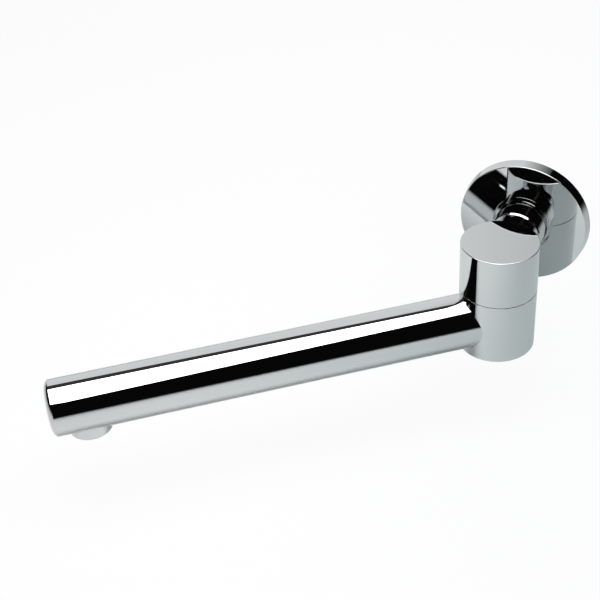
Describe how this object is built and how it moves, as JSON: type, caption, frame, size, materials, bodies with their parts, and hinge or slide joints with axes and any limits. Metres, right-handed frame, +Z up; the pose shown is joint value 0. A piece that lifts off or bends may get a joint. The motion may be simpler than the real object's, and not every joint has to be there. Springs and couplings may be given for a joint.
{
  "type": "bathtub spout",
  "caption": "Wall-mounted swivel bathtub spout with a round wall flange, a stepped neck, a two-part upright barrel and a long round arm that swings sideways over the tub, in polished chrome.",
  "frame": {"origin": "centre of the threaded water inlet, in the plane of the wall", "axes": "+Y along the inlet, into the wall; -Y into the room; +Z up, parallel to the swivel axis; +X to the right seen from the room"},
  "size_m": [0.2125, 0.1969, 0.0791],
  "materials": {
    "polished_chrome": "mirror-polished chrome plate on brass",
    "turned_brass": "turned, unplated brass",
    "black_rubber": "smooth moulded nitrile rubber",
    "foam_rubber": "closed-cell foam rubber, cut from sheet",
    "black_bearing_plastic": "low-friction bearing plastic, satin",
    "stainless_steel": "bright stainless steel",
    "aerator_plastic": "light grey moulded acetal"
  },
  "bodies": {
    "wall_body": {"wall_flange": "polished_chrome", "flange_seal": "foam_rubber", "flange_o_ring": "black_rubber", "inlet_neck": "polished_chrome", "inlet_washer": "black_rubber", "upper_barrel": "polished_chrome", "stop_pin": "stainless_steel", "pivot_stem": "turned_brass", "stem_seal": "black_rubber", "stem_o_ring_upper": "black_rubber", "stem_o_ring_lower": "black_rubber", "slip_washer": "black_bearing_plastic", "thrust_washer": "stainless_steel", "stem_circlip": "stainless_steel"},
    "swing_arm": {"lower_barrel": "polished_chrome", "bush_upper": "black_bearing_plastic", "bush_lower": "black_bearing_plastic", "bottom_cap": "polished_chrome", "bottom_cap_o_ring": "black_rubber", "arm_tube": "polished_chrome", "tip_plug": "polished_chrome", "outlet_boss": "polished_chrome", "aerator_seal": "black_rubber", "aerator_housing": "aerator_plastic", "aerator_insert": "aerator_plastic", "aerator_fine_screen": "stainless_steel", "aerator_coarse_screen": "stainless_steel"}
  },
  "joints": [
    {"name": "arm_swing", "type": "hinge", "parent": "wall_body", "child": "swing_arm", "pos_m": [0, -0.0444, 0], "axis": [0, 0, 1], "range_deg": [-39.8, 140.2]}
  ]
}
